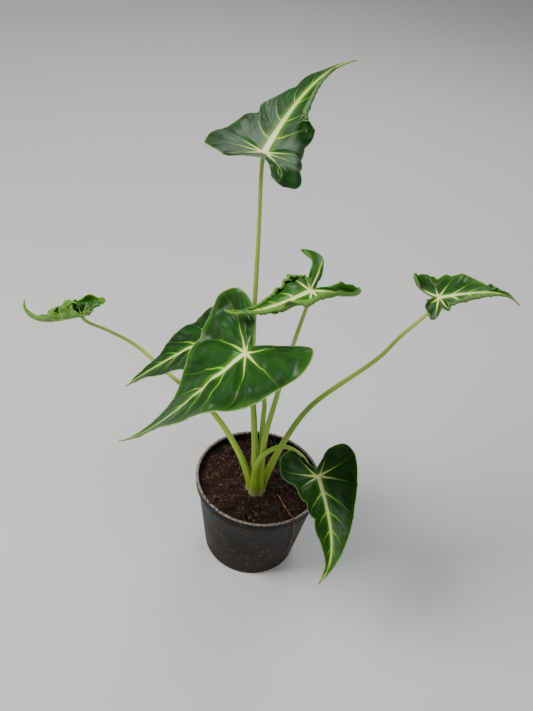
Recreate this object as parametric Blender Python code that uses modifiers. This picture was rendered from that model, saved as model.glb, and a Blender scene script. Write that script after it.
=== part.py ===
"""A small alocasia with seven leaves in a round nursery pot.

Metres, +Z up, origin under the middle of the pot.
"""
import bpy
import bmesh
import numpy as np
from math import cos, pi, radians, sin
from mathutils import Matrix

# The pot: a thin tapered tub with a turned-out rim.
POT_HEIGHT = 0.094
POT_RIM_RADIUS = 0.060
POT_BASE_RADIUS = 0.044
POT_WALL = 0.0014
POT_FLOOR = 0.003
RIM_BAND = 0.009
RIM_STEP = 0.0012
ROUND_STEPS = 56

# The soil fills the pot and is a little mounded round the plant.
FIT_GAP = 0.0003
SOIL_TOP = 0.0865
SOIL_MOUND = 0.003
SOIL_LUMP = 0.0011

# The short stem stands in a plain hole in the soil and carries the seven leaf stalks.
STEM_X = -0.0013
STEM_Y = -0.0144
STEM_RADIUS = 0.0089
STEM_TAPER = 0.8
STEM_TOP = 0.094
STEM_BOTTOM = 0.070
STALK_SPACING = 0.0060
STALK_FOOT_RADIUS = 0.0027
STALK_TOP_RADIUS = 0.0013
STALK_TAPER = 0.8
STALK_POINTS = 15

# The blades: rows run along half the edge, columns from the vein to the edge.
BLADE_THICKNESS = 0.0009
RIB_THICKNESS = 0.0022
ROWS = 20
COLUMNS = (0, 0.13, 0.32, 0.52, 0.70, 0.84, 0.93, 1)

# One row a leaf, lengths in millimetres and angles in degrees. at is the top of the stalk, heading
# is counter-clockwise from +X, pitch is nose down, long is the blade from the stalk to the tip, wide
# and back are the half width and the rear lobe on the left and on the right, fold and cup lift the
# two halves, curl rolls their edges, droop and sweep bend the blade along its length and at its tip,
# lobe_drop bends the rear lobes, wave is the height of the ruffled edge. foot is the stalk's place
# round the stem, None the middle, and way the points its stalk passes.
LEAVES = {
    "top": dict(
        at=(-32, -10, 435), heading=85, pitch=6, roll=8, long=148, wide=(42, 37), back=(30, 33),
        fold=(2, 4), cup=(-4, 9), curl=(-17, -200), droop=(-52, 30), sweep=(-20, -32), twist=-26,
        lobe_drop=-20, wave=1.5, foot=None, way=((-14, -11, 191), (-22, -4, 256), (-29, -5, 364)),
        color=(0.030, 0.085, 0.030)),
    "front": dict(
        at=(-25, -60, 293), heading=199, pitch=48, roll=-8, long=136, wide=(59, 62), back=(46, 28),
        fold=(5, -6), cup=(5, 11), curl=(18, 39), droop=(-3, -3), sweep=(5, -36), twist=46,
        lobe_drop=37, wave=1.5, foot=66,
        way=((-2, -8, 144), (-4, -11, 176), (-5, -20, 206), (-10, -36, 242), (-16, -50, 270)),
        color=(0.030, 0.085, 0.030)),
    "behind": dict(
        at=(-59, 15, 241), heading=190, pitch=34, roll=4, long=103, wide=(39, 37), back=(29, 26),
        fold=(4, 2), cup=(0, 8), curl=(0, 20), droop=(15, 7), sweep=(-5, -14), twist=6,
        lobe_drop=13, wave=1.5, foot=124,
        way=((-9, -5, 146), (-14, -1, 179), (-26, 5, 198), (-44, 11, 220)),
        color=(0.030, 0.085, 0.030)),
    "inner": dict(
        at=(16, -42, 347), heading=203, pitch=28, roll=-28, long=83, wide=(30, 28), back=(36, 29),
        fold=(22, 18), cup=(-2, -60), curl=(125, 4), droop=(46, 12), sweep=(-38, -13), twist=57,
        lobe_drop=115, wave=2.0, foot=-50, way=((0, -21, 163), (4, -27, 220), (10, -35, 285)),
        color=(0.035, 0.11, 0.035)),
    "rolled": dict(
        at=(-181, 40, 223), heading=178, pitch=28, roll=15, long=72, wide=(17, 17), back=(22, 22),
        fold=(0, 0), cup=(158, 158), curl=(0, 0), droop=(-5, -150), sweep=(-5, -10), twist=10,
        lobe_drop=10, wave=0, foot=182,
        way=((-22, -9, 131), (-51, 8, 160), (-101, 36, 175), (-133, 50, 189), (-156, 46, 204)),
        color=(0.035, 0.11, 0.035)),
    "right": dict(
        at=(115, -10, 337), heading=-1, pitch=-23, roll=12, long=64, wide=(25, 26), back=(24, 24),
        fold=(-12, -8), cup=(12, 24), curl=(60, 65), droop=(0, 60), sweep=(-8, -36), twist=-19,
        lobe_drop=-50, wave=1.5, foot=8,
        way=((20, -12, 166), (36, -11, 206), (82, -10, 269), (94, -10, 293)),
        color=(0.030, 0.085, 0.030)),
    "low": dict(
        at=(52, -38, 147), heading=-66, pitch=18, roll=9, long=99, wide=(41, 43), back=(27, 28),
        fold=(16, 15), cup=(18, 17), curl=(55, 46), droop=(0, 2), sweep=(-14, -48), twist=-19,
        lobe_drop=-12, wave=1.5, foot=-108,
        way=((-3, -24, 136), (5, -25, 155), (18, -25, 164), (35, -24, 155)),
        color=(0.030, 0.085, 0.030)),
}

# Half the outline from the notch behind the stalk round the rear lobe to the tip, as shares of the
# blade's length or rear lobe, and of its half width.
NOTCH = (-0.07, 0.0)
LOBE_EDGE = ((-0.60, 0.26), (-1.0, 0.60), (-0.70, 0.93))
FRONT_EDGE = ((0.0, 1.0), (0.22, 0.84), (0.45, 0.55), (0.68, 0.26), (0.85, 0.09), (1.0, 0.0))
SIDE_VEIN_SLANT = 0.75


def clear_scene():
    for thing in list(bpy.data.objects):
        bpy.data.objects.remove(thing)


def collection(name):
    group = bpy.data.collections.new(name)
    bpy.context.scene.collection.children.link(group)
    return group


def material(name, color, roughness):
    made = bpy.data.materials.new(name)
    made.use_nodes = True
    shader = made.node_tree.nodes["Principled BSDF"]
    shader.inputs["Base Color"].default_value = (*color, 1)
    shader.inputs["Roughness"].default_value = roughness
    shader.inputs["Metallic"].default_value = 0
    return made


def finish_object(bm, name, group, look):
    mesh = bpy.data.meshes.new(name)
    bm.to_mesh(mesh)
    bm.free()
    made = bpy.data.objects.new(name, mesh)
    made.data.materials.append(look)
    group.objects.link(made)
    return made


def turned(profile, steps):
    """A closed body turned from a profile that starts and ends on the axis."""
    bm = bmesh.new()
    verts = [bm.verts.new((r, 0, z)) for r, z in profile]
    edges = [bm.edges.new(pair) for pair in zip(verts, verts[1:])]
    bmesh.ops.spin(bm, geom=verts + edges, cent=(0, 0, 0), axis=(0, 0, 1), angle=2 * pi, steps=steps)
    bmesh.ops.remove_doubles(bm, verts=bm.verts[:], dist=0.00001)
    bmesh.ops.recalc_face_normals(bm, faces=bm.faces[:])
    return bm


def wall_radius(z):
    """The inner face of the pot's wall at a height."""
    share = z / POT_HEIGHT
    outer = POT_BASE_RADIUS + (POT_RIM_RADIUS - RIM_STEP - POT_BASE_RADIUS) * share
    return outer - POT_WALL


def make_pot(group):
    band_foot = POT_HEIGHT - RIM_BAND
    outer = wall_radius(band_foot) + POT_WALL
    profile = [
        (0, POT_FLOOR), (wall_radius(POT_FLOOR) - 0.002, POT_FLOOR),
        (wall_radius(POT_FLOOR + 0.002), POT_FLOOR + 0.002),
        (wall_radius(POT_HEIGHT), POT_HEIGHT - 0.0005), (wall_radius(POT_HEIGHT) + 0.0004, POT_HEIGHT),
        (POT_RIM_RADIUS - 0.0005, POT_HEIGHT), (POT_RIM_RADIUS, POT_HEIGHT - 0.0006),
        (POT_RIM_RADIUS - 0.0004, band_foot + 0.0005), (outer, band_foot),
        (POT_BASE_RADIUS + 0.0004, 0.002), (POT_BASE_RADIUS - 0.0012, 0), (0, 0)]
    black = material("pot_plastic", (0.02, 0.019, 0.018), 0.55)
    return finish_object(turned(profile, ROUND_STEPS), "pot", group, black)


def soil_height(x, y):
    """The lumpy top of the soil."""
    around = np.hypot(x - STEM_X, y - STEM_Y)
    lumps = np.sin(170 * x + 1.3) * np.sin(150 * y + 0.4) + 0.6 * np.sin(310 * x - 240 * y)
    return SOIL_TOP + SOIL_MOUND * np.exp(-(around / 0.03) ** 2) + SOIL_LUMP * lumps


def make_soil(group):
    inner_floor = POT_FLOOR + FIT_GAP
    side = [(wall_radius(z) - FIT_GAP, z) for z in (inner_floor + 0.0026, SOIL_TOP - 0.004)]
    rings = [(r, SOIL_TOP) for r in (0.055, 0.048, 0.040, 0.031, 0.022, 0.012)]
    foot = [(0, inner_floor), (wall_radius(inner_floor) - 0.004, inner_floor)]
    profile = foot + side + rings + [(0, SOIL_TOP)]
    bm = turned(profile, 40)
    for vert in bm.verts:
        if vert.co.z > SOIL_TOP - 0.001:
            vert.co.z = float(soil_height(vert.co.x, vert.co.y))
    bmesh.ops.triangulate(bm, faces=bm.faces[:])
    return finish_object(bm, "soil", group, material("potting_soil", (0.05, 0.022, 0.012), 0.95))


def cylinder(radius, bottom, top, sides):
    bm = bmesh.new()
    bmesh.ops.create_cone(
        bm, cap_ends=True, segments=sides, radius1=radius, radius2=radius, depth=top - bottom)
    bmesh.ops.translate(bm, verts=bm.verts[:], vec=(STEM_X, STEM_Y, (top + bottom) / 2))
    return bm


def make_stem(group, cutters, soil):
    bm = cylinder(STEM_RADIUS, STEM_BOTTOM, STEM_TOP, 24)
    foot = [v for v in bm.verts if v.co.z < STEM_BOTTOM + 0.001]
    middle = Matrix.Translation((-STEM_X, -STEM_Y, 0))
    bmesh.ops.scale(bm, vec=(STEM_TAPER, STEM_TAPER, 1), verts=foot, space=middle)
    stem = finish_object(bm, "stem", group, material("stem_skin", (0.30, 0.30, 0.12), 0.6))
    hole = finish_object(
        cylinder(STEM_RADIUS + FIT_GAP, STEM_BOTTOM - FIT_GAP, POT_HEIGHT + 0.02, 24), "stem_hole", cutters,
        material("cutter", (0.5, 0.5, 0.5), 0.5))
    hole.hide_render = True
    hole.display_type = "WIRE"
    cut = soil.modifiers.new("stem_hole", "BOOLEAN")
    cut.operation = "DIFFERENCE"
    cut.solver = "EXACT"
    cut.object = hole
    return stem


def smooth_line(points, count):
    """A centripetal Catmull-Rom line through the points."""
    p = np.asarray(points, float)
    p = np.vstack([2 * p[0] - p[1], p, 2 * p[-1] - p[-2]])
    knots = np.concatenate([[0], np.cumsum(np.linalg.norm(np.diff(p, axis=0), axis=1) ** 0.5)])
    t = np.linspace(knots[1], knots[-2], count)
    i = np.clip(np.searchsorted(knots, t, side="right") - 1, 1, len(p) - 3)
    k0, k1, k2, k3 = (knots[i + n] for n in (-1, 0, 1, 2))

    def mix(a, b, ka, kb):
        return a * ((kb - t) / (kb - ka))[:, None] + b * ((t - ka) / (kb - ka))[:, None]

    a1, a2, a3 = mix(p[i - 1], p[i], k0, k1), mix(p[i], p[i + 1], k1, k2), mix(p[i + 1], p[i + 2], k2, k3)
    return mix(mix(a1, a2, k0, k2), mix(a2, a3, k1, k3), k1, k2)


def turn_matrix(leaf):
    """Leaf axes (forward, left, upper face) in the world."""
    h, p, r = radians(leaf["heading"]), radians(leaf["pitch"]), radians(leaf["roll"])
    about_x = np.array([[1, 0, 0], [0, cos(r), -sin(r)], [0, sin(r), cos(r)]])
    about_y = np.array([[cos(p), 0, sin(p)], [0, 1, 0], [-sin(p), 0, cos(p)]])
    about_z = np.array([[cos(h), -sin(h), 0], [sin(h), cos(h), 0], [0, 0, 1]])
    return about_z @ about_y @ about_x


def spine_frames(leaf):
    """The bent line of the main vein with its side and upward directions."""
    length, rear = leaf["long"] / 1000, max(leaf["back"]) / 1000
    x = np.concatenate([np.linspace(-rear, 0, 30)[:-1], np.linspace(0, length, 120)])
    u, back = np.clip(x / length, 0, 1), np.clip(-x / rear, 0, 1)
    droop, tip_droop = (radians(v) for v in leaf["droop"])
    sweep, tip_sweep = (radians(v) for v in leaf["sweep"])
    down = droop * u + tip_droop * u ** 4 - radians(leaf["lobe_drop"]) * back
    aside = sweep * u + tip_sweep * u ** 4
    twist = radians(leaf["twist"]) * u
    ahead = np.stack([np.cos(down) * np.cos(aside), np.sin(aside), -np.sin(down) * np.cos(aside)], 1)
    level = np.stack([-np.cos(down) * np.sin(aside), np.cos(aside), np.sin(down) * np.sin(aside)], 1)
    up = np.cross(ahead, level)
    left = level * np.cos(twist)[:, None] + up * np.sin(twist)[:, None]
    up = np.cross(ahead, left)
    steps = (ahead[1:] + ahead[:-1]) / 2 * np.diff(x)[:, None]
    place = np.concatenate([[[0, 0, 0]], np.cumsum(steps, axis=0)])
    return x, place - place[29], left, up


def edge_line(leaf, wide, back):
    """Half the outline from the notch behind the stalk round the rear lobe to the tip."""
    length = leaf["long"] / 1000
    outline = [(NOTCH[0] * length, 0)] + [(a * back, b * wide) for a, b in LOBE_EDGE]
    edge = smooth_line(outline + [(a * length, b * wide) for a, b in FRONT_EDGE], ROWS)
    edge[-1, 1] = edge[0, 1] = 0
    return edge


def half_blade(leaf, side):
    """Points of one half, rows along its edge and columns from the vein out, in leaf axes."""
    n = 0 if side > 0 else 1
    wide = leaf["wide"][n] / 1000
    middle = edge_line(leaf, sum(leaf["wide"]) / 2000, sum(leaf["back"]) / 2000)
    edge = edge_line(leaf, wide, leaf["back"][n] / 1000)
    start = np.where(middle[:, 0] > 0, np.clip(middle[:, 0] - SIDE_VEIN_SLANT * middle[:, 1], 0, None), 0)
    ray = np.stack([edge[:, 0] - start, edge[:, 1]], 1)
    reach = np.linalg.norm(ray, axis=1)
    toward = ray / np.maximum(reach, 1e-9)[:, None]
    fine = np.linspace(0, 1, 201)
    curl = radians(leaf["curl"][n]) * np.clip(reach / (0.8 * wide), 0, 1) ** 2
    lift = radians(leaf["cup"][n]) * fine[None] + curl[:, None] * fine[None] ** 4
    run = np.cumsum((np.cos(lift[:, 1:]) + np.cos(lift[:, :-1])) / 400, axis=1)
    climb = np.cumsum((np.sin(lift[:, 1:]) + np.sin(lift[:, :-1])) / 400, axis=1)
    t = np.array(COLUMNS)
    out = np.stack([np.interp(t, fine[1:], row, left=0) for row in run])
    rise = np.stack([np.interp(t, fine[1:], row, left=0) for row in climb])
    s = np.linspace(0, 1, ROWS)
    ruffle = leaf["wave"] / 1000 * np.sin(pi * s) * np.sin(2 * pi * (4.5 + side * 0.6) * s + side)
    x = start[:, None] + toward[:, :1] * reach[:, None] * out
    y = toward[:, 1:] * reach[:, None] * out
    z = reach[:, None] * rise + ruffle[:, None] * t ** 3
    fold = radians(leaf["fold"][n])
    y, z = y * cos(fold) - z * sin(fold), y * sin(fold) + z * cos(fold)
    line, place, left, up = spine_frames(leaf)

    def along(values):
        return np.stack([np.interp(x, line, values[:, k]) for k in range(3)], -1)

    return along(place) + along(left) * (side * y)[..., None] + along(up) * z[..., None]


def blade_points(leaf):
    """The whole blade from the tip round the left half, the notch and the right half to the tip."""
    grid = np.concatenate([half_blade(leaf, 1)[::-1], half_blade(leaf, -1)[1:]])
    return grid @ turn_matrix(leaf).T + np.array(leaf["at"]) / 1000


def make_blade(name, leaf, group):
    grid = blade_points(leaf)
    across, along = grid.shape[0] - 1, grid.shape[1] - 1
    bm = bmesh.new()
    bmesh.ops.create_grid(bm, x_segments=across, y_segments=along, size=0.5)
    ribs = []
    for vert in bm.verts:
        i, j = round((vert.co.x + 0.5) * across), round((vert.co.y + 0.5) * along)
        vert.co = grid[i, j]
        if j == 0 and 0 < i < across:
            ribs.append(tuple(vert.co))
    bmesh.ops.remove_doubles(bm, verts=bm.verts[:], dist=0.00005)
    bmesh.ops.dissolve_degenerate(bm, dist=0.00001, edges=bm.edges[:])
    bmesh.ops.reverse_faces(bm, faces=bm.faces[:])
    bmesh.ops.triangulate(bm, faces=bm.faces[:], quad_method="FIXED")
    made = finish_object(bm, "leaf_" + name, group, material("leaf_skin_" + name, leaf["color"], 0.45))
    rib = made.vertex_groups.new(name="rib")
    spots = np.array(ribs)
    for vert in made.data.vertices:
        near = np.linalg.norm(spots - np.array(vert.co), axis=1).min() < 0.0002
        rib.add([vert.index], 1.0 if near else BLADE_THICKNESS / RIB_THICKNESS, "REPLACE")
    shell = made.modifiers.new("thickness", "SOLIDIFY")
    shell.thickness = RIB_THICKNESS
    shell.offset = -1
    shell.vertex_group = "rib"
    return made


def stalk_foot(leaf):
    if leaf["foot"] is None:
        return np.array([STEM_X, STEM_Y, STEM_TOP + FIT_GAP])
    a = radians(leaf["foot"])
    return np.array([STEM_X + STALK_SPACING * cos(a), STEM_Y + STALK_SPACING * sin(a), STEM_TOP + FIT_GAP])


def make_stalk(name, leaf, group):
    """A round tapering stalk from the stem to the underside of its blade."""
    up = turn_matrix(leaf)[:, 2]
    end = np.array(leaf["at"]) / 1000 - up * (RIB_THICKNESS + 0.0007)
    foot = stalk_foot(leaf)
    way = [np.array(p) / 1000 for p in leaf["way"]]
    ahead = (end - way[-1]) / np.linalg.norm(end - way[-1])
    bend = end - (up + ahead) / np.linalg.norm(up + ahead) * 0.006
    line = smooth_line([foot, foot + (0, 0, 0.005)] + way + [bend, end], STALK_POINTS)
    curve = bpy.data.curves.new("stalk_" + name, "CURVE")
    curve.dimensions = "3D"
    curve.bevel_depth = 1.0
    curve.bevel_resolution = 2
    curve.use_fill_caps = True
    strand = curve.splines.new("POLY")
    strand.points.add(len(line) - 1)
    for n, (point, place) in enumerate(zip(strand.points, line)):
        share = n / (len(line) - 1)
        point.co = (*place, 1)
        point.radius = STALK_FOOT_RADIUS + (STALK_TOP_RADIUS - STALK_FOOT_RADIUS) * share ** STALK_TAPER
    made = bpy.data.objects.new("stalk_" + name, curve)
    made.data.materials.append(material("stalk_skin_" + name, (0.24, 0.30, 0.10), 0.5))
    group.objects.link(made)
    return made


def main():
    clear_scene()
    group = collection("alocasia_in_pot")
    cutters = collection("cutters")
    make_pot(group)
    soil = make_soil(group)
    make_stem(group, cutters, soil)
    for name, leaf in LEAVES.items():
        make_blade(name, leaf, group)
        make_stalk(name, leaf, group)


main()
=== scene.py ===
import random
import bmesh
import bpy
import numpy as np
from math import cos, pi, radians, sin, tau
from mathutils import Matrix, Vector, noise


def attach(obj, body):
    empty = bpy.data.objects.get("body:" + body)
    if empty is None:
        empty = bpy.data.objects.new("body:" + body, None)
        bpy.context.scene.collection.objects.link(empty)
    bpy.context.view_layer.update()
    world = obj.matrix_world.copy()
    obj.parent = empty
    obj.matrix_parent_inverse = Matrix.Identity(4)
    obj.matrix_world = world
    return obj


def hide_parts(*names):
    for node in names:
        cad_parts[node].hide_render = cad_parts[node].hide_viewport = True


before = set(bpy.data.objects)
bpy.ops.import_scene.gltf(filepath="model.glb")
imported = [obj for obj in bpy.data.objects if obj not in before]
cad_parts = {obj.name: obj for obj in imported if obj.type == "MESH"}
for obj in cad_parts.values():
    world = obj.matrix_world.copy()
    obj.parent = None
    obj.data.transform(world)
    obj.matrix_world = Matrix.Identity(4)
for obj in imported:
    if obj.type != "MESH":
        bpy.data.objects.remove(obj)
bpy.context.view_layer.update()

# Camera, floor and studio light
# The camera looks 40 degrees down on the plant and is held with its right side raised a little,
# as the lean of the pot in the photograph shows. Three softboxes light a plain pale floor.
CAMERA_PLACE = (0.0, -0.576, 0.727)
CAMERA_TURN = (49.68, -6.476, 6.432)
CAMERA_LENS = 45.0
SENSOR_WIDTH = 36.0
LIGHTS_AIM = (0, 0, 0.25)
STUDIO_AIR = (0.9, 0.93, 1.0, 1)
STUDIO_AIR_STRENGTH = 0.28
FLOOR_SIZE = 9.0
FLOOR_DARK, FLOOR_LIGHT = (0.66, 0.66, 0.65), (0.72, 0.72, 0.71)
camera_data = bpy.data.cameras.new("camera")
camera_data.lens = CAMERA_LENS
camera_data.sensor_width = SENSOR_WIDTH
camera_data.clip_start = 0.01
camera = bpy.data.objects.new("camera", camera_data)
camera.location = CAMERA_PLACE
camera.rotation_euler = [radians(a) for a in CAMERA_TURN]
bpy.context.scene.collection.objects.link(camera)
bpy.context.scene.camera = camera

for name, place, size, watts, color in (
        ("softbox_left", (-0.9, -0.35, 1.35), 0.55, 24.0, (1.0, 0.97, 0.93)),
        ("softbox_right", (1.1, -0.5, 0.9), 0.9, 5.0, (0.93, 0.97, 1.0)),
        ("softbox_back", (0.2, 1.1, 1.1), 0.8, 7.0, (1.0, 1.0, 1.0))):
    softbox_data = bpy.data.lights.new(name, "AREA")
    softbox_data.size = size
    softbox_data.energy = watts
    softbox_data.color = color
    softbox = bpy.data.objects.new(name, softbox_data)
    softbox.location = place
    facing = (Vector(LIGHTS_AIM) - Vector(place)).to_track_quat("-Z", "Y")
    softbox.rotation_euler = facing.to_euler()
    bpy.context.scene.collection.objects.link(softbox)
world = bpy.data.worlds.new("studio")
bpy.context.scene.world = world
world.use_nodes = True
world.node_tree.nodes["Background"].inputs["Color"].default_value = STUDIO_AIR
world.node_tree.nodes["Background"].inputs["Strength"].default_value = STUDIO_AIR_STRENGTH

# Every finish of the plant and pot is mottled at some scale, so the mottling is one node group.
grain_group = bpy.data.node_groups.new("grain", "ShaderNodeTree")
for label, kind in (("Vector", "Vector"), ("Stretch", "Vector"), ("Scale", "Float"),
                    ("Detail", "Float"), ("Roughness", "Float")):
    grain_group.interface.new_socket(label, in_out="INPUT", socket_type="NodeSocket" + kind)
grain_group.interface.new_socket("Grain", in_out="OUTPUT", socket_type="NodeSocketFloat")
grain_in = grain_group.nodes.new("NodeGroupInput")
grain_out = grain_group.nodes.new("NodeGroupOutput")
grain_stretch = grain_group.nodes.new("ShaderNodeMapping")
grain_noise = grain_group.nodes.new("ShaderNodeTexNoise")
grain_group.links.new(grain_in.outputs["Vector"], grain_stretch.inputs["Vector"])
grain_group.links.new(grain_in.outputs["Stretch"], grain_stretch.inputs["Scale"])
grain_group.links.new(grain_stretch.outputs["Vector"], grain_noise.inputs["Vector"])
for label in ("Scale", "Detail", "Roughness"):
    grain_group.links.new(grain_in.outputs[label], grain_noise.inputs[label])
grain_group.links.new(grain_noise.outputs["Fac"], grain_out.inputs["Grain"])


class Finish:
    """A material in the making. Its methods add nodes and give back their outputs."""

    def __init__(self, name):
        self.material = bpy.data.materials.new(name)
        self.material.use_nodes = True
        self.shader = self.material.node_tree.nodes["Principled BSDF"]

    def node(self, kind, **settings):
        """A node with its settings."""
        made = self.material.node_tree.nodes.new(kind)
        for name, value in settings.items():
            setattr(made, name, value)
        return made

    def feed(self, socket, value):
        """Joins an output to a socket, or sets the socket itself to a number or colour."""
        if isinstance(value, bpy.types.NodeSocket):
            self.material.node_tree.links.new(value, socket)
        elif socket.type == "RGBA":
            socket.default_value = (*value, 1)
        else:
            socket.default_value = value

    def give(self, **looks):
        """Feeds the shader's own sockets, named with _ for a space."""
        for name, value in looks.items():
            self.feed(self.shader.inputs[name.replace("_", " ")], value)

    def math(self, operation, a, b=0.0, c=0.0, clamp=False):
        """One sum of up to three numbers."""
        made = self.node("ShaderNodeMath", operation=operation, use_clamp=clamp)
        for socket, value in zip(made.inputs, (a, b, c)):
            self.feed(socket, value)
        return made.outputs[0]

    def plus(self, a, b):
        """Both numbers together."""
        return self.math("ADD", a, b)

    def times(self, a, b):
        """One number times the other."""
        return self.math("MULTIPLY", a, b)

    def fade(self, value, low, high, to_low=0.0, to_high=1.0):
        """A smooth step as value goes from low to high."""
        made = self.node("ShaderNodeMapRange", interpolation_type="SMOOTHSTEP")
        for name, number in (("Value", value), ("From Min", low), ("From Max", high),
                             ("To Min", to_low), ("To Max", to_high)):
            self.feed(made.inputs[name], number)
        return made.outputs["Result"]

    def blend(self, share, a, b):
        """Colour a where share is 0, colour b where it is 1."""
        made = self.node("ShaderNodeMix", data_type="RGBA")
        for number, value in ((0, share), (6, a), (7, b)):
            self.feed(made.inputs[number], value)
        return made.outputs[2]

    def spot(self, x, y, z=0.0):
        """The place at which a pattern is read, when it isn't the point's own place."""
        made = self.node("ShaderNodeCombineXYZ")
        for axis, value in zip("XYZ", (x, y, z)):
            self.feed(made.inputs[axis], value)
        return made.outputs["Vector"]

    def read(self, label):
        """What the piece's mesh says of itself at a point."""
        made = self.node("ShaderNodeAttribute", attribute_name=label, attribute_type="GEOMETRY")
        return made.outputs["Fac"]

    def grain(self, scale, detail=4.0, roughness=0.55, stretch=(1, 1, 1), vector=None):
        """Mottling from 0 to 1; scale is in repeats a metre unless it has its own vector."""
        made = self.node("ShaderNodeGroup", node_tree=grain_group)
        vector = vector or self.node("ShaderNodeTexCoord").outputs["Object"]
        for name, value in (("Vector", vector), ("Stretch", stretch), ("Scale", scale),
                            ("Detail", detail), ("Roughness", roughness)):
            self.feed(made.inputs[name], value)
        return made.outputs["Grain"]

    def bump(self, height, distance, strength):
        """Fine relief, distance high in metres."""
        made = self.node("ShaderNodeBump")
        made.inputs["Strength"].default_value = strength
        made.inputs["Distance"].default_value = distance
        self.feed(made.inputs["Height"], height)
        self.feed(self.shader.inputs["Normal"], made.outputs["Normal"])


floor_paint = Finish("pale_floor")
floor_shade = floor_paint.blend(floor_paint.grain(3.0), FLOOR_DARK, FLOOR_LIGHT)
floor_paint.give(Base_Color=floor_shade, Roughness=0.7)
bpy.ops.object.select_all(action="DESELECT")
bpy.ops.mesh.primitive_plane_add(size=FLOOR_SIZE, location=(0, 0, 0))
floor = bpy.context.object
floor.name = "floor"
floor.data.materials.append(floor_paint.material)

# The nursery pot
# A thin black plastic tub with a turned-out rim, moulded in one piece. Dust lies on its rim,
# water has left a brown ring low on its side, and specks of soil stick to it.
POT_HEIGHT = 0.094
POT_RIM_RADIUS = 0.060
POT_BASE_RADIUS = 0.044
POT_WALL = 0.0014
POT_FLOOR = 0.003
POT_CORNER = 0.002
RIM_BAND = 0.009
RIM_STEP = 0.0012
POT_STEPS = 160
POT_CREASE = 40
PLASTIC_BLACK, PLASTIC_GREY = (0.0015, 0.0015, 0.0015), (0.0045, 0.004, 0.004)
WATER_BROWN = (0.055, 0.038, 0.026)
SPECK_BROWN = (0.20, 0.085, 0.040)
DUST_PALE = (0.36, 0.30, 0.26)


def wall_radius(z):
    """The inner face of the pot's wall at a height."""
    flare = (POT_RIM_RADIUS - RIM_STEP - POT_BASE_RADIUS) * z / POT_HEIGHT
    return POT_BASE_RADIUS + flare - POT_WALL


def turn(name, profile, steps, crease):
    """A closed body spun in edit mode from a profile that starts and ends on the axis."""
    bpy.ops.object.select_all(action="DESELECT")
    bpy.ops.mesh.primitive_plane_add(size=0.01)
    piece = bpy.context.object
    piece.name = name
    work = bmesh.new()
    points = [work.verts.new((r, 0, z)) for r, z in profile]
    for pair in zip(points, points[1:]):
        work.edges.new(pair)
    work.to_mesh(piece.data)
    work.free()
    bpy.ops.object.mode_set(mode="EDIT")
    bpy.ops.mesh.select_all(action="SELECT")
    bpy.ops.mesh.spin(steps=steps, angle=tau, center=(0, 0, 0), axis=(0, 0, 1))
    bpy.ops.mesh.select_all(action="SELECT")
    bpy.ops.mesh.remove_doubles(threshold=0.00001)
    bpy.ops.mesh.normals_make_consistent(inside=False)
    bpy.ops.object.mode_set(mode="OBJECT")
    piece.data.transform(Matrix.Translation(piece.location))
    piece.location = (0, 0, 0)
    bpy.ops.object.shade_smooth_by_angle(angle=radians(crease))
    return piece


band_foot = POT_HEIGHT - RIM_BAND
outer_foot = wall_radius(band_foot) + POT_WALL
inner_lip = wall_radius(POT_HEIGHT)
pot_inside = [
    (0, POT_FLOOR), (0.02, POT_FLOOR), (wall_radius(POT_FLOOR) - POT_CORNER, POT_FLOOR),
    (wall_radius(POT_FLOOR + POT_CORNER), POT_FLOOR + POT_CORNER), (wall_radius(0.05), 0.05)]
pot_lip = [
    (inner_lip, POT_HEIGHT - 0.0007), (inner_lip + 0.0003, POT_HEIGHT - 0.0002),
    (inner_lip + 0.0008, POT_HEIGHT), (POT_RIM_RADIUS - 0.0008, POT_HEIGHT),
    (POT_RIM_RADIUS - 0.0002, POT_HEIGHT - 0.0003), (POT_RIM_RADIUS, POT_HEIGHT - 0.0009)]
pot_band = [
    (POT_RIM_RADIUS - 0.0003, POT_HEIGHT - 0.005), (POT_RIM_RADIUS - 0.0005, band_foot + 0.0005),
    (POT_RIM_RADIUS - 0.0009, band_foot + 0.0001), (outer_foot + 0.0002, band_foot),
    (outer_foot, band_foot - 0.0004)]
pot_side = [
    (POT_BASE_RADIUS + 0.0075, 0.047), (POT_BASE_RADIUS + 0.0014, 0.008),
    (POT_BASE_RADIUS + 0.0004, 0.002), (POT_BASE_RADIUS - 0.0002, 0.0006),
    (POT_BASE_RADIUS - 0.0012, 0), (0.02, 0), (0, 0)]
pot = turn("nursery_pot", pot_inside + pot_lip + pot_band + pot_side, POT_STEPS, POT_CREASE)

plastic = Finish("dusty_black_plastic")
place = plastic.node("ShaderNodeSeparateXYZ")
plastic.feed(place.inputs[0], plastic.node("ShaderNodeTexCoord").outputs["Object"])
height = place.outputs["Z"]
cloudy = plastic.grain(55.0, 6.0, 0.65)
gritty = plastic.grain(620.0, 3.0, 0.6)
flaky = plastic.grain(260.0, 3.0, 0.6)
streaky = plastic.grain(90.0, 5.0, 0.6, (1, 1, 0.12))
rim_line = plastic.fade(height, POT_HEIGHT - 0.0016, POT_HEIGHT - 0.0003)
rim_dust = plastic.times(rim_line, plastic.fade(gritty, 0.36, 0.60, 0.15, 1.0))
low_ring = plastic.times(plastic.fade(height, 0.030, 0.004), plastic.fade(cloudy, 0.42, 0.62))
runs = plastic.times(plastic.fade(streaky, 0.55, 0.75), 0.35)
film = plastic.math("ADD", plastic.times(low_ring, 0.5), runs, clamp=True)
more_low_down = plastic.fade(height, 0.086, 0.020, 0.35, 1.0)
flakes = plastic.times(plastic.fade(flaky, 0.64, 0.68), more_low_down)
specks = plastic.times(plastic.fade(gritty, 0.60, 0.66), plastic.fade(cloudy, 0.44, 0.56))
specks = plastic.math("MAXIMUM", specks, flakes)
shade = plastic.blend(plastic.fade(cloudy, 0.3, 0.7), PLASTIC_BLACK, PLASTIC_GREY)
shade = plastic.blend(film, shade, WATER_BROWN)
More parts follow.
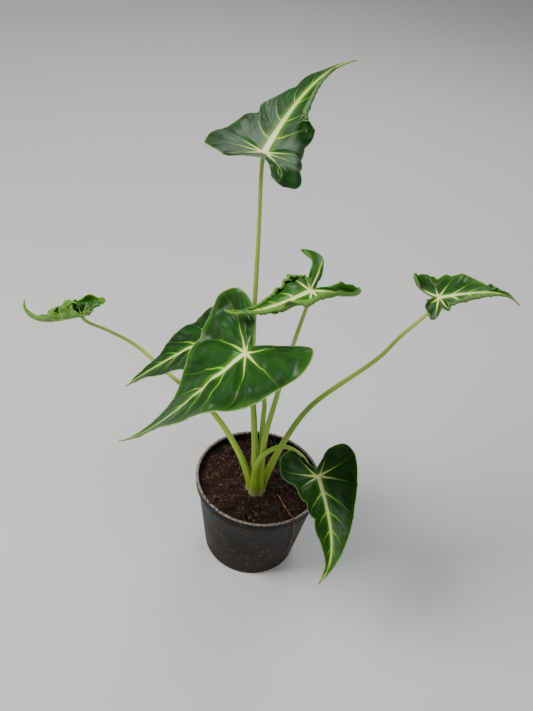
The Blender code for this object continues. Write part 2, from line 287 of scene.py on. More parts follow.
shade = plastic.blend(specks, shade, SPECK_BROWN)
shade = plastic.blend(rim_dust, shade, DUST_PALE)
plastic.give(Base_Color=shade, Roughness=plastic.fade(film, 0.0, 0.5, 0.48, 0.75),
             Specular_IOR_Level=0.16)
plastic.bump(plastic.plus(plastic.times(gritty, 0.25), specks), 0.0003, 0.6)
pot.data.materials.append(plastic.material)
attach(pot, "root")
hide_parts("pot")

# The soil
# Dark peat and coir in crumbs, loosely filled to just under the rim and heaped a little round the
# plant. Its top is one rough surface, with loose crumbs and fibres lying on it.
SOIL_TOP = 0.0865
SOIL_MOUND = 0.003
SOIL_MOUND_REACH = 0.03
SOIL_RADIUS = 0.0572
SOIL_FLOOR = 0.0036
SOIL_BELOW = ((0.0485, 0.05), (wall_radius(0.006) - 0.004, SOIL_FLOOR), (0, SOIL_FLOOR))
SOIL_RINGS = 120
SOIL_STEPS = 260
LUMP_HEIGHT, CLOD_HEIGHT, CRUMB_HEIGHT, GRAIN_HEIGHT = 0.0011, 0.0013, 0.0016, 0.0004
CLODS, CRUMBS, GRAINS = 130, 420, 1100
PLANT_X = -0.0013
PLANT_Y = -0.0144
PEAT_DARK, PEAT_BROWN = (0.006, 0.003, 0.002), (0.040, 0.015, 0.008)
PEAT_CRUMB, COIR_SHRED = (0.11, 0.050, 0.024), (0.24, 0.12, 0.055)


def soil_height(x, y):
    """The rough top of the soil: the frame's slow lumps, then clods, crumbs and grains."""
    around = np.hypot(x - PLANT_X, y - PLANT_Y)
    lumps = sin(170 * x + 1.3) * sin(150 * y + 0.4) + 0.6 * sin(310 * x - 240 * y)
    clod = noise.noise(Vector((x, y, 0.3)) * CLODS)
    crumb = abs(noise.noise(Vector((x, y, 0.7)) * CRUMBS))
    grain = noise.noise(Vector((x, y, 1.1)) * GRAINS)
    mound = SOIL_MOUND * np.exp(-(around / SOIL_MOUND_REACH) ** 2)
    return (SOIL_TOP + mound + LUMP_HEIGHT * lumps
            + CLOD_HEIGHT * clod + CRUMB_HEIGHT * crumb + GRAIN_HEIGHT * grain)


def set_down(work, name, smooth):
    """The finished piece of a mesh in the making."""
    mesh = bpy.data.meshes.new(name)
    work.to_mesh(mesh)
    work.free()
    mesh.polygons.foreach_set("use_smooth", [smooth] * len(mesh.polygons))
    piece = bpy.data.objects.new(name, mesh)
    bpy.context.scene.collection.objects.link(piece)
    return piece


def wrapped_grid(name, across, along, place_at, extras=()):
    """A mesh from a grid whose point (i, j) goes to place_at(i, j).

    extras are pairs of an attribute's name and its value at each point.
    """
    work = bmesh.new()
    bmesh.ops.create_grid(work, x_segments=across, y_segments=along, size=0.5)
    layers = [(work.verts.layers.float.new(label), values) for label, values in extras]
    for vert in work.verts:
        i, j = round((vert.co.x + 0.5) * across), round((vert.co.y + 0.5) * along)
        vert.co = place_at(i, j)
        for layer, values in layers:
            vert[layer] = float(values[i, j])
    bmesh.ops.remove_doubles(work, verts=work.verts[:], dist=0.00002)
    bmesh.ops.dissolve_degenerate(work, dist=0.000001, edges=work.edges[:])
    bmesh.ops.recalc_face_normals(work, faces=work.faces[:])
    return set_down(work, name, True)


def soil_point(i, j):
    """A point of the soil: rings over its top, then down the wall and under it."""
    turned = tau * i / SOIL_STEPS
    if j > SOIL_RINGS:
        r, z = SOIL_BELOW[j - SOIL_RINGS - 1]
        return (r * cos(turned), r * sin(turned), z)
    share = j / SOIL_RINGS
    r = SOIL_RADIUS * share ** 0.8
    x, y = r * cos(turned), r * sin(turned)
    return (x, y, soil_height(x, y) - 0.001 * share ** 20)


soil = wrapped_grid("potting_soil", SOIL_STEPS, SOIL_RINGS + len(SOIL_BELOW), soil_point)
peat = Finish("peat_and_coir")
coarse = peat.grain(160.0, 6.0, 0.7)
fine = peat.grain(900.0, 4.0, 0.7)
shreds = peat.grain(300.0, 4.0, 0.6, (1, 0.15, 1))
shade = peat.blend(peat.fade(coarse, 0.35, 0.68), PEAT_DARK, PEAT_BROWN)
shade = peat.blend(peat.fade(fine, 0.55, 0.75), shade, PEAT_CRUMB)
shade = peat.blend(peat.fade(shreds, 0.68, 0.76), shade, COIR_SHRED)
peat.give(Base_Color=shade, Roughness=0.92, Specular_IOR_Level=0.25)
peat.bump(peat.plus(fine, coarse), 0.0012, 0.9)
soil.data.materials.append(peat.material)
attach(soil, "root")
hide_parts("soil")

# Loose crumbs
# Crumbs of the same peat lie on the soil, spill over the rim at the front left, and stick to the
# pot's side. Each is a small irregular pebble of a few faces.
CRUMBS_ON_SOIL = 520
CRUMBS_ON_RIM = 46
CRUMBS_ON_SIDE = 70
SPILL_MIDDLE = 225
SPILL_SPREAD = 8
RIM_INNER = 0.0575
CRUMB_DARK, CRUMB_LIGHT = (0.022, 0.010, 0.006), (0.15, 0.068, 0.032)
draw = random.Random(11)
crumbs = bmesh.new()


def add_crumb(place, size):
    """One irregular crumb."""
    made = bmesh.ops.create_icosphere(crumbs, subdivisions=1, radius=size)["verts"]
    stretch = Vector((draw.uniform(0.7, 1.5), draw.uniform(0.7, 1.3), draw.uniform(0.5, 0.9)))
    turned = Matrix.Rotation(draw.uniform(0, tau), 3, "Z")
    for vert in made:
        vert.co = Vector(place) + turned @ (vert.co * stretch * draw.uniform(0.7, 1.25))


for _ in range(CRUMBS_ON_SOIL):
    turned, r = draw.uniform(0, tau), 0.056 * draw.uniform(0.02, 1) ** 0.5
    x, y = r * cos(turned), r * sin(turned)
    size = draw.uniform(0.0004, 0.0013) * (1.0 if draw.random() < 0.9 else 1.7)
    add_crumb((x, y, soil_height(x, y) + size * 0.3), size)
for _ in range(CRUMBS_ON_RIM):
    turned, r = radians(draw.gauss(SPILL_MIDDLE, SPILL_SPREAD)), draw.uniform(0.0545, 0.0597)
    size = draw.uniform(0.0004, 0.0012)
    rise = POT_HEIGHT + 0.0002 if r > RIM_INNER else draw.uniform(0.089, 0.0935)
    add_crumb((r * cos(turned), r * sin(turned), rise), size)
for _ in range(CRUMBS_ON_SIDE):
    turned, z = draw.uniform(0, tau), draw.uniform(0.004, 0.082)
    r = wall_radius(z) + POT_WALL
    add_crumb((r * cos(turned), r * sin(turned), z), draw.uniform(0.00025, 0.0006))
soil_crumbs = set_down(crumbs, "soil_crumbs", False)
loose_peat = Finish("loose_peat")
mottled = loose_peat.fade(loose_peat.grain(350.0, 4.0, 0.6), 0.35, 0.7)
loose_peat.give(Base_Color=loose_peat.blend(mottled, CRUMB_DARK, CRUMB_LIGHT), Roughness=0.95)
loose_peat.bump(loose_peat.grain(1500.0, 3.0), 0.0003, 0.8)
soil_crumbs.data.materials.append(loose_peat.material)
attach(soil_crumbs, "root")

# Fibres and the root strand
# Pale coir fibres lie on the soil, and one sticks out over the rim at the back left. A brown root
# strand comes out of the soil at the front right, bends over the rim and hangs down the pot.
FIBRE_COUNT = 95
FIBRE_POINTS = 9
FIBRE_SIDES = 5
FIBRE_OVER_RIM = (
    (-0.0500, 0.0235, 0.0885), (-0.0565, 0.0262, 0.0945), (-0.0625, 0.0268, 0.0972),
    (-0.0680, 0.0262, 0.0985), (-0.0715, 0.0258, 0.0995))
STRAND_WAY = (
    (0.0190, -0.0150, 0.0885), (0.0215, -0.0180, 0.0902), (0.0265, -0.0260, 0.0900),
    (0.0310, -0.0335, 0.0900), (0.0350, -0.0400, 0.0920), (0.0378, -0.0455, 0.0948),
    (0.0387, -0.0468, 0.0935), (0.0390, -0.0455, 0.0850), (0.0400, -0.0420, 0.0760),
    (0.0412, -0.0375, 0.0640), (0.0405, -0.0345, 0.0500), (0.0395, -0.0320, 0.0370),
    (0.0375, -0.0310, 0.0260))
STRAND_POINTS = 90
STRAND_SIDES = 8
STRAND_RADIUS = 0.00055
TWIG_WAY = (
    (0.0312, -0.0338, 0.0902), (0.0330, -0.0330, 0.0912), (0.0352, -0.0316, 0.0905),
    (0.0375, -0.0310, 0.0893))
TWIG_POINTS = 14
TWIG_SIDES = 6
COIR_DARK, COIR_PALE = (0.13, 0.060, 0.025), (0.42, 0.25, 0.12)
ROOT_DARK, ROOT_LIGHT = (0.090, 0.034, 0.014), (0.42, 0.18, 0.070)


def smooth_line(points, count):
    """A centripetal Catmull-Rom line through the points."""
    p = np.asarray(points, float)
    p = np.vstack([2 * p[0] - p[1], p, 2 * p[-1] - p[-2]])
    knots = np.concatenate([[0], np.cumsum(np.linalg.norm(np.diff(p, axis=0), axis=1) ** 0.5)])
    t = np.linspace(knots[1], knots[-2], count)
    i = np.clip(np.searchsorted(knots, t, side="right") - 1, 1, len(p) - 3)
    k0, k1, k2, k3 = (knots[i + n] for n in (-1, 0, 1, 2))

    def mix(a, b, ka, kb):
        return a * ((kb - t) / (kb - ka))[:, None] + b * ((t - ka) / (kb - ka))[:, None]

    a1 = mix(p[i - 1], p[i], k0, k1)
    a2 = mix(p[i], p[i + 1], k1, k2)
    a3 = mix(p[i + 1], p[i + 2], k2, k3)
    return mix(mix(a1, a2, k0, k2), mix(a2, a3, k1, k3), k1, k2)


def carried_frames(line):
    """Two side directions along a line, carried from point to point without twisting."""
    ahead = np.gradient(line, axis=0)
    ahead /= np.linalg.norm(ahead, axis=1)[:, None]
    side = np.cross(ahead[0], (0.3, 1, 0.2))
    sides = []
    for way in ahead:
        side = side - way * np.dot(side, way)
        side = side / np.linalg.norm(side)
        sides.append(side)
    sides = np.array(sides)
    return sides, np.cross(ahead, sides)


def add_tube(work, line, radii, ring_sides):
    """A closed tube along a line, with flat ends, added to a mesh in the making."""
    turns = [tau * k / ring_sides for k in range(ring_sides)]
    rings = []
    for point, r, side, up in zip(line, radii, *carried_frames(line)):
        rings.append([work.verts.new(point + r * (cos(a) * side + sin(a) * up)) for a in turns])
    for low, high in zip(rings, rings[1:]):
        for k in range(ring_sides):
            n = (k + 1) % ring_sides
            work.faces.new((low[k], low[n], high[n], high[k]))
    work.faces.new(rings[0][::-1])
    work.faces.new(rings[-1])


fibres = bmesh.new()
for _ in range(FIBRE_COUNT):
    turned, r = draw.uniform(0, tau), 0.053 * draw.uniform(0.03, 1) ** 0.5
    heading, length, curl = draw.uniform(0, tau), draw.uniform(0.004, 0.016), draw.gauss(0, 1.1)
    x, y, spots = r * cos(turned), r * sin(turned), []
    for n in range(FIBRE_POINTS):
        share = n / (FIBRE_POINTS - 1)
        near_wall = min(1, 0.0565 / max(np.hypot(x, y), 0.001))
        x, y = x * near_wall, y * near_wall
        arch = 0.0004 + 0.0015 * sin(pi * share) * draw.uniform(0.3, 1)
        spots.append((x, y, soil_height(x, y) + arch))
        x += cos(heading + curl * share) * length / FIBRE_POINTS
        y += sin(heading + curl * share) * length / FIBRE_POINTS
    thick = draw.uniform(0.00008, 0.00022)
    taper = 1 - 0.6 * np.abs(np.linspace(-1, 1, FIBRE_POINTS))
    add_tube(fibres, smooth_line(spots, FIBRE_POINTS), thick * taper, FIBRE_SIDES)
over_rim = smooth_line(FIBRE_OVER_RIM, TWIG_POINTS)
add_tube(fibres, over_rim, np.linspace(0.00022, 0.0001, TWIG_POINTS), FIBRE_SIDES)
coir_fibres = set_down(fibres, "coir_fibres", False)

strand = bmesh.new()
knobbly = [STRAND_RADIUS * (1.15 - 0.5 * n / (STRAND_POINTS - 1) + 0.18 * sin(n * 0.9))
           for n in range(STRAND_POINTS)]
add_tube(strand, smooth_line(STRAND_WAY, STRAND_POINTS), knobbly, STRAND_SIDES)
twig = smooth_line(TWIG_WAY, TWIG_POINTS)
add_tube(strand, twig, np.linspace(0.00032, 0.00012, TWIG_POINTS), TWIG_SIDES)
root_strand = set_down(strand, "root_strand", True)
for piece, label, dark, light in (
        (coir_fibres, "coir", COIR_DARK, COIR_PALE),
        (root_strand, "root_bark", ROOT_DARK, ROOT_LIGHT)):
    bark = Finish(label)
    patchy = bark.fade(bark.grain(260.0, 4.0, 0.65), 0.35, 0.68)
    bark.give(Base_Color=bark.blend(patchy, dark, light), Roughness=0.8)
    bark.bump(bark.grain(1400.0, 3.0), 0.0002, 0.8)
    piece.data.materials.append(bark.material)
    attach(piece, "root")

# The leaves
# Seven arrow-shaped leaves, each grown from one stalk. A blade is thin, velvety above and paler
# below, with a broad cream main vein, sunken side veins, puffed flesh between them and a fine
# pale edge.
#
# What a leaf's numbers mean, in millimetres and degrees, a pair being its left and right half:
#   at, way, foot: the top of the stalk, the points it passes, and where round the stem it stands
#   heading, pitch, roll: counter-clockwise from +X, nose down, and about the main vein
#   long, wide, back: from the stalk to the tip, half the width, and the rear lobe
#   fold, cup, curl: how far a half turns up at the vein, evenly to its edge, and near its edge
#   droop, sweep: how far the main vein bends down and left, evenly and near the tip; twist: of both
#   lobe_drop, right_drop: how far the rear lobes hang; spread: how much of the cup they lose
#   wave, crisp: the long waves and the crimps of the edge; puff, pucker: relief between the veins
#   fresh: how young and yellow it is; dry: the share of its length from which the tip is brown
#   nicks: the half (1 left, -1 right), the place on its edge, the depth (growth below 0), the span
#   rolls: the half, the first and last place on its edge, the turn, and its start from the vein
# A place on the edge goes from 0 in the notch over 0.26 at the lobe's end to 1 at the tip.
LEAVES = {
    "top": dict(
        at=(-32, -10, 435), way=((-14, -11, 191), (-22, -4, 256), (-29, -5, 364)), foot=None,
        heading=85, pitch=6, roll=8, long=148, wide=(42, 37), back=(30, 33),
        fold=(2, 4), cup=(-4, 9), curl=(-17, -200), droop=(-52, 30), sweep=(-20, -32), twist=-26,
        lobe_drop=-20, wave=1.5, crisp=(0.5, 1.0), puff=1.0, pucker=0.5, fresh=0.02, dry=9,
        nicks=((1, 0.60, 0.20, 0.018), (1, 0.75, 0.18, 0.018), (1, 0.27, 0.10, 0.035),
               (-1, 0.28, -0.16, 0.06)),
        rolls=((-1, 0.54, 0.90, 360, 0.62),)),
    "front": dict(
        at=(-25, -60, 293), foot=66,
        way=((-2, -8, 144), (-4, -11, 176), (-5, -20, 206), (-10, -36, 242), (-16, -50, 270)),
        heading=199, pitch=48, roll=-8, long=136, wide=(59, 62), back=(46, 28),
        fold=(5, -6), cup=(5, 11), curl=(18, 39), droop=(-3, -3), sweep=(5, -36), twist=46,
        lobe_drop=37, wave=1.5, crisp=(0.3, 0.4), puff=4.2, pucker=2.6, fresh=0.12, dry=9,
        nicks=((-1, 0.55, 0.06, 0.018), (1, 0.56, 0.03, 0.018), (-1, 0.18, 0.22, 0.10)),
        rolls=()),
    "behind": dict(
        at=(-59, 15, 241), foot=124,
        way=((-9, -5, 146), (-14, -1, 179), (-26, 5, 198), (-44, 11, 220)),
        heading=190, pitch=34, roll=4, long=103, wide=(39, 37), back=(29, 26),
        fold=(4, 2), cup=(0, 8), curl=(0, 20), droop=(15, 7), sweep=(-5, -14), twist=6,
        lobe_drop=13, wave=1.5, crisp=(0.5, 0.5), puff=1.8, pucker=0.8, fresh=0.0, dry=0.90,
        nicks=((-1, 0.50, 0.06, 0.018),), rolls=()),
    "inner": dict(
        at=(16, -42, 347), way=((0, -21, 163), (4, -27, 220), (10, -35, 285)), foot=-50,
        heading=203, pitch=28, roll=-28, long=83, wide=(30, 28), back=(36, 29),
        fold=(22, 18), cup=(-2, -60), curl=(125, 4), droop=(46, 12), sweep=(-38, -13), twist=57,
        lobe_drop=115, right_drop=78, wave=2.0, crisp=(2.6, 2.2), puff=1.4, pucker=0.9,
        fresh=0.40, dry=9,
        nicks=((-1, 0.26, -1.00, 0.030), (-1, 0.39, 0.60, 0.07), (-1, 0.13, 0.62, 0.06),
               (1, 0.40, 0.25, 0.08), (-1, 0.84, 0.50, 0.10), (1, 0.84, 0.50, 0.10)),
        rolls=((-1, 0.40, 0.92, 380, 0.60), (1, 0.38, 0.93, 330, 0.45))),
    "rolled": dict(
        at=(-181, 40, 223), foot=182,
        way=((-22, -9, 131), (-51, 8, 160), (-101, 36, 175), (-133, 50, 189), (-156, 46, 204)),
        heading=178, pitch=28, roll=15, long=72, wide=(24, 24), back=(22, 22),
        fold=(0, 0), cup=(225, 225), curl=(0, 0), droop=(-5, -150), sweep=(-5, -10), twist=10,
        lobe_drop=10, spread=0.88, wave=0, crisp=(2.0, 2.0), puff=2.6, pucker=6.0,
        fresh=0.42, dry=9,
        nicks=((1, 0.42, 0.35, 0.06), (-1, 0.42, 0.30, 0.05), (1, 0.27, 0.15, 0.05),
               (-1, 0.25, 0.05, 0.04), (1, 0.59, -0.35, 0.025), (-1, 0.56, -0.40, 0.025),
               (1, 0.69, -0.30, 0.025), (-1, 0.66, -0.30, 0.025), (1, 0.54, 0.35, 0.020),
               (1, 0.64, 0.40, 0.020), (1, 0.74, 0.35, 0.020), (1, 0.82, 0.30, 0.018),
               (-1, 0.51, 0.35, 0.020), (-1, 0.61, 0.40, 0.020), (-1, 0.71, 0.35, 0.020),
               (-1, 0.80, 0.30, 0.018)),
        rolls=()),
    "right": dict(
        at=(115, -10, 337), foot=8,
        way=((20, -12, 166), (36, -11, 206), (82, -10, 269), (94, -10, 293)),
        heading=-1, pitch=-23, roll=12, long=64, wide=(25, 26), back=(24, 24),
        fold=(-12, -8), cup=(12, 24), curl=(60, 65), droop=(0, 60), sweep=(-8, -36), twist=-19,
        lobe_drop=-50, wave=1.5, crisp=(1.0, 1.4), puff=1.2, pucker=0.6, fresh=0.15, dry=0.86,
        nicks=((1, 0.43, 0.28, 0.05), (-1, 0.20, 0.60, 0.09), (-1, 0.38, -0.30, 0.04),
               (-1, 0.47, 0.30, 0.03), (-1, 0.55, 0.10, 0.018)),
        rolls=((-1, 0.52, 0.93, 330, 0.58), (1, 0.74, 0.94, 220, 0.55))),
    "low": dict(
        at=(52, -38, 147), way=((-3, -24, 136), (5, -25, 155), (18, -25, 164), (35, -24, 155)),
        foot=-108, heading=-66, pitch=18, roll=9, long=99, wide=(41, 43), back=(27, 28),
        fold=(16, 15), cup=(18, 17), curl=(55, 46), droop=(0, 2), sweep=(-14, -48), twist=-19,
        lobe_drop=-12, wave=1.5, crisp=(0.9, 1.3), puff=1.4, pucker=0.7, fresh=0.08, dry=0.95,
        nicks=((-1, 0.60, 0.14, 0.018), (-1, 0.50, 0.20, 0.05), (-1, 0.68, 0.12, 0.02),
               (1, 0.20, 0.16, 0.05)),
        rolls=()),
}
# Half an outline: the notch as shares of the length, the rear lobe as shares of back and wide, and
# the front as shares of the length and wide.
NOTCH = (-0.07, 0.0)
LOBE_EDGE = ((-0.60, 0.26), (-1.0, 0.60), (-0.70, 0.93))
FRONT_EDGE = ((0.0, 1.0), (0.22, 0.84), (0.45, 0.55), (0.68, 0.26), (0.85, 0.09), (1.0, 0.0))
ROWS = 130
COLUMNS = 46
REAR_STEPS = 52
FRONT_STEPS = 120
RAY_STEPS = 201
SPINE_BEHIND = 1.8
LOBE_SPAN = 0.7
CURL_REACH = 0.8
ROLL_FADE = 0.05
EDGE_RAG = 0.012
EDGE_WAVES, MORE_WAVES_LEFT = 4.5, 0.6
CRIMP_HEIGHT = 2.2
MAIN_VEIN_LEAF = 0.12
BLADE_THICKNESS = 0.0006
EDGE_THINNING = 0.35
# The relief of a blade in millimetres: how wide each form is, then how high or deep.
GROOVE_WIDTH, GROOVE_DEPTH = 0.9, 0.30
CHANNEL_WIDTH, CHANNEL_DEPTH = 1.6, 0.35
RIB_WIDTH, RIB_HEIGHT = 1.3, 1.5
BACK_VEIN_WIDTH, BACK_VEIN_HEIGHT = 0.6, 0.35
RIB_CLEARANCE = 2.5
# Where the side veins leave the main vein, as shares of the blade's length; below 0 they fan out
# round the rear lobe. The strong one at -0.96 runs to the end of the lobe.
VEIN_STARTS = (-1.75, -0.96, -0.55, -0.16, 0.15, 0.33, 0.50, 0.66, 0.80, 1.1)
VEIN_VIGOUR = (0.0, 1.7, 1.0, 1.1, 1.0, 0.9, 0.7, 0.5, 0.4, 0.0)
VEIN_BEND = 0.13
SIDE_VEIN_SLANT = 0.75


def turn_matrix(leaf):
    """Leaf axes (forward, left, upper face) in the frame."""
    h, p, r = radians(leaf["heading"]), radians(leaf["pitch"]), radians(leaf["roll"])
    about_x = np.array([[1, 0, 0], [0, cos(r), -sin(r)], [0, sin(r), cos(r)]])
    about_y = np.array([[cos(p), 0, sin(p)], [0, 1, 0], [-sin(p), 0, cos(p)]])
    about_z = np.array([[cos(h), -sin(h), 0], [sin(h), cos(h), 0], [0, 0, 1]])
    return about_z @ about_y @ about_x


def spine_frames(leaf, rear_drop):
    """The bent line of the main vein with its side and upward directions."""
    length, rear = leaf["long"] / 1000, max(leaf["back"]) / 1000
    behind = np.linspace(-SPINE_BEHIND * rear, 0, REAR_STEPS)[:-1]
    x = np.concatenate([behind, np.linspace(0, length, FRONT_STEPS)])
    u, back = np.clip(x / length, 0, 1), np.clip(-x / rear, 0, 1)
    droop, tip_droop = (radians(v) for v in leaf["droop"])
    sweep, tip_sweep = (radians(v) for v in leaf["sweep"])
    down = droop * u + tip_droop * u ** 4 - radians(rear_drop) * back
    aside = sweep * u + tip_sweep * u ** 4
    twist = radians(leaf["twist"]) * u
    ahead = np.stack([np.cos(down) * np.cos(aside), np.sin(aside),
                      -np.sin(down) * np.cos(aside)], 1)
    level = np.stack([-np.cos(down) * np.sin(aside), np.cos(aside),
                      np.sin(down) * np.sin(aside)], 1)
    up = np.cross(ahead, level)
    left = level * np.cos(twist)[:, None] + up * np.sin(twist)[:, None]
    up = np.cross(ahead, left)
    steps = (ahead[1:] + ahead[:-1]) / 2 * np.diff(x)[:, None]
    place = np.concatenate([[[0, 0, 0]], np.cumsum(steps, axis=0)])
    return x, place - place[len(behind)], left, up


def edge_line(leaf, wide, back):
    """Half the outline from the notch behind the stalk round the rear lobe to the tip."""
    length = leaf["long"] / 1000
    outline = [(NOTCH[0] * length, 0)] + [(a * back, b * wide) for a, b in LOBE_EDGE]
    edge = smooth_line(outline + [(a * length, b * wide) for a, b in FRONT_EDGE], ROWS)
    edge[-1, 1] = edge[0, 1] = 0
    return edge


def ray_bend(leaf, side, rho, curl):
    """How far the rays from the vein to the edge have turned up, at each step along them."""
    s, fine = np.linspace(0, 1, ROWS), np.linspace(0, 1, RAY_STEPS)[None]
    held = 1 - leaf.get("spread", 0) * np.clip(-rho / LOBE_SPAN, 0, 1)
    cup = radians(leaf["cup"][0 if side > 0 else 1])
    lift = cup * fine * held[:, None] + curl[:, None] * fine ** 4
    for half, first, last, turned, inner in leaf["rolls"]:
        if half == side:
            held = np.clip((s - first) / ROLL_FADE, 0, 1) * np.clip((last - s) / ROLL_FADE, 0, 1)
            uneven = [noise.noise(Vector((v * 48, side * 2.3, turned))) for v in s]
            held = held * (1 + 0.6 * np.array(uneven))
            outer = np.clip((fine - inner) / (1 - inner), 0, 1) ** 1.2
            lift = lift + radians(turned) * held[:, None] * outer
    return lift


def half_blade(leaf, side):
    """One half of a blade, rows along its edge and columns from the vein out.

    Gives its points, its upward directions, and what the finish reads at each point.
    """
    n = 0 if side > 0 else 1
    length, wide = leaf["long"] / 1000, leaf["wide"][n] / 1000
    s = np.linspace(0, 1, ROWS)
    # Each row is a ray. It starts on the main vein and slants forward, or fans out from the heart,
    # and rho says where: a share of the length, or less than 0 round the lobe.
    middle = edge_line(leaf, sum(leaf["wide"]) / 2000, sum(leaf["back"]) / 2000)
    edge = edge_line(leaf, wide, leaf["back"][n] / 1000)
    slanted = np.clip(middle[:, 0] - SIDE_VEIN_SLANT * middle[:, 1], 0, None)
    start = np.where(middle[:, 0] > 0, slanted, 0)
    fan = np.arctan2(middle[:, 1], middle[:, 0]) - np.arctan2(1, SIDE_VEIN_SLANT)
    rho = np.where(start > 0, start / length, -fan / (pi / 2))
    ray = np.stack([edge[:, 0] - start, edge[:, 1]], 1)
    reach = np.linalg.norm(ray, axis=1)
    toward = ray / np.maximum(reach, 1e-9)[:, None]
    curl = radians(leaf["curl"][n]) * np.clip(reach / (CURL_REACH * wide), 0, 1) ** 2
    nick = sum(depth * np.exp(-((s - spot) / span) ** 2)
               for half, spot, depth, span in leaf["nicks"] if half == side)
    crisp, mid_edge = leaf["crisp"][n], np.sin(pi * s)
    ragged = np.array([noise.noise(Vector((v * 11, side * 5.3, length * 70 + 9))) for v in s])
    reach = reach * (1 - nick + EDGE_RAG * (1 + crisp) * mid_edge ** 0.5 * ragged)
    # Along its ray the blade bends up, and the columns are set out on that bend.
    lift = ray_bend(leaf, side, rho, curl)
    steps = 2 * (RAY_STEPS - 1)
    run = np.cumsum((np.cos(lift[:, 1:]) + np.cos(lift[:, :-1])) / steps, axis=1)
    climb = np.cumsum((np.sin(lift[:, 1:]) + np.sin(lift[:, :-1])) / steps, axis=1)
    fine = np.linspace(0, 1, RAY_STEPS)[1:]
    t = np.linspace(0, 1, COLUMNS) ** 0.9
    out = np.stack([np.interp(t, fine, row, left=0) for row in run])
    rise = np.stack([np.interp(t, fine, row, left=0) for row in climb])
    waves = EDGE_WAVES + side * MORE_WAVES_LEFT
    wave = mid_edge * np.sin(2 * pi * waves * s + side) * leaf["wave"]
    frill = [noise.noise(Vector((v * 15, side * 3.1, length * 90)))
             + 0.6 * noise.noise(Vector((v * 38, side * 7.7, length * 90))) for v in s]
    crimp = mid_edge ** 0.5 * np.array(frill) * CRIMP_HEIGHT * crisp
    x = start[:, None] + toward[:, :1] * reach[:, None] * out
    y = toward[:, 1:] * reach[:, None] * out
    z = reach[:, None] * rise + (wave[:, None] * t ** 3 + crimp[:, None] * t ** 5) / 1000
    fold = radians(leaf["fold"][n])
    y, z = y * cos(fold) - z * sin(fold), y * sin(fold) + z * cos(fold)
    # The whole half then follows the bent main vein.
    rear_drop = leaf.get("right_drop", leaf["lobe_drop"]) if side < 0 else leaf["lobe_drop"]
    line, place, left, up = spine_frames(leaf, rear_drop)

    def at_x(values):
        return np.stack([np.interp(x, line, values[:, k]) for k in range(3)], -1)

    points = at_x(place) + at_x(left) * (side * y)[..., None] + at_x(up) * z[..., None]
    # lane counts the side veins, pitch is the way between two of them, mid the way to the main
    # vein, heart to the stalk and rim to the edge, all in millimetres on the flat blade.
    flat = np.stack([start[:, None] + toward[:, :1] * reach[:, None] * t,
                     toward[:, 1:] * reach[:, None] * t], -1)
    heart = np.linalg.norm(flat, axis=-1)
    drift = np.clip(1 + rho / LOBE_SPAN, -0.5, 1)[:, None] * VEIN_BEND * t ** 1.7
    lane = np.interp(rho[:, None] - drift, VEIN_STARTS, range(len(VEIN_STARTS)))
    row_gap = np.linalg.norm(np.gradient(flat, axis=0), axis=-1)
    pitch = row_gap / np.maximum(np.abs(np.gradient(lane, axis=0)), 1e-6)
    from_vein = np.where(flat[..., 0] > 0, flat[..., 1], heart)
    facts = {
        "lane": lane, "pitch": np.clip(pitch * 1000, 0, 40), "out": np.broadcast_to(t, lane.shape),
        "mid": from_vein * 1000 * (MAIN_VEIN_LEAF / length) ** 0.5,
        "along": flat[..., 0] / length, "heart": heart * 1000,
        "rim": reach[:, None] * (1 - t) * 1000,
        "vigour": np.interp(lane, range(len(VEIN_STARTS)), VEIN_VIGOUR)}
    return points, at_x(up), facts


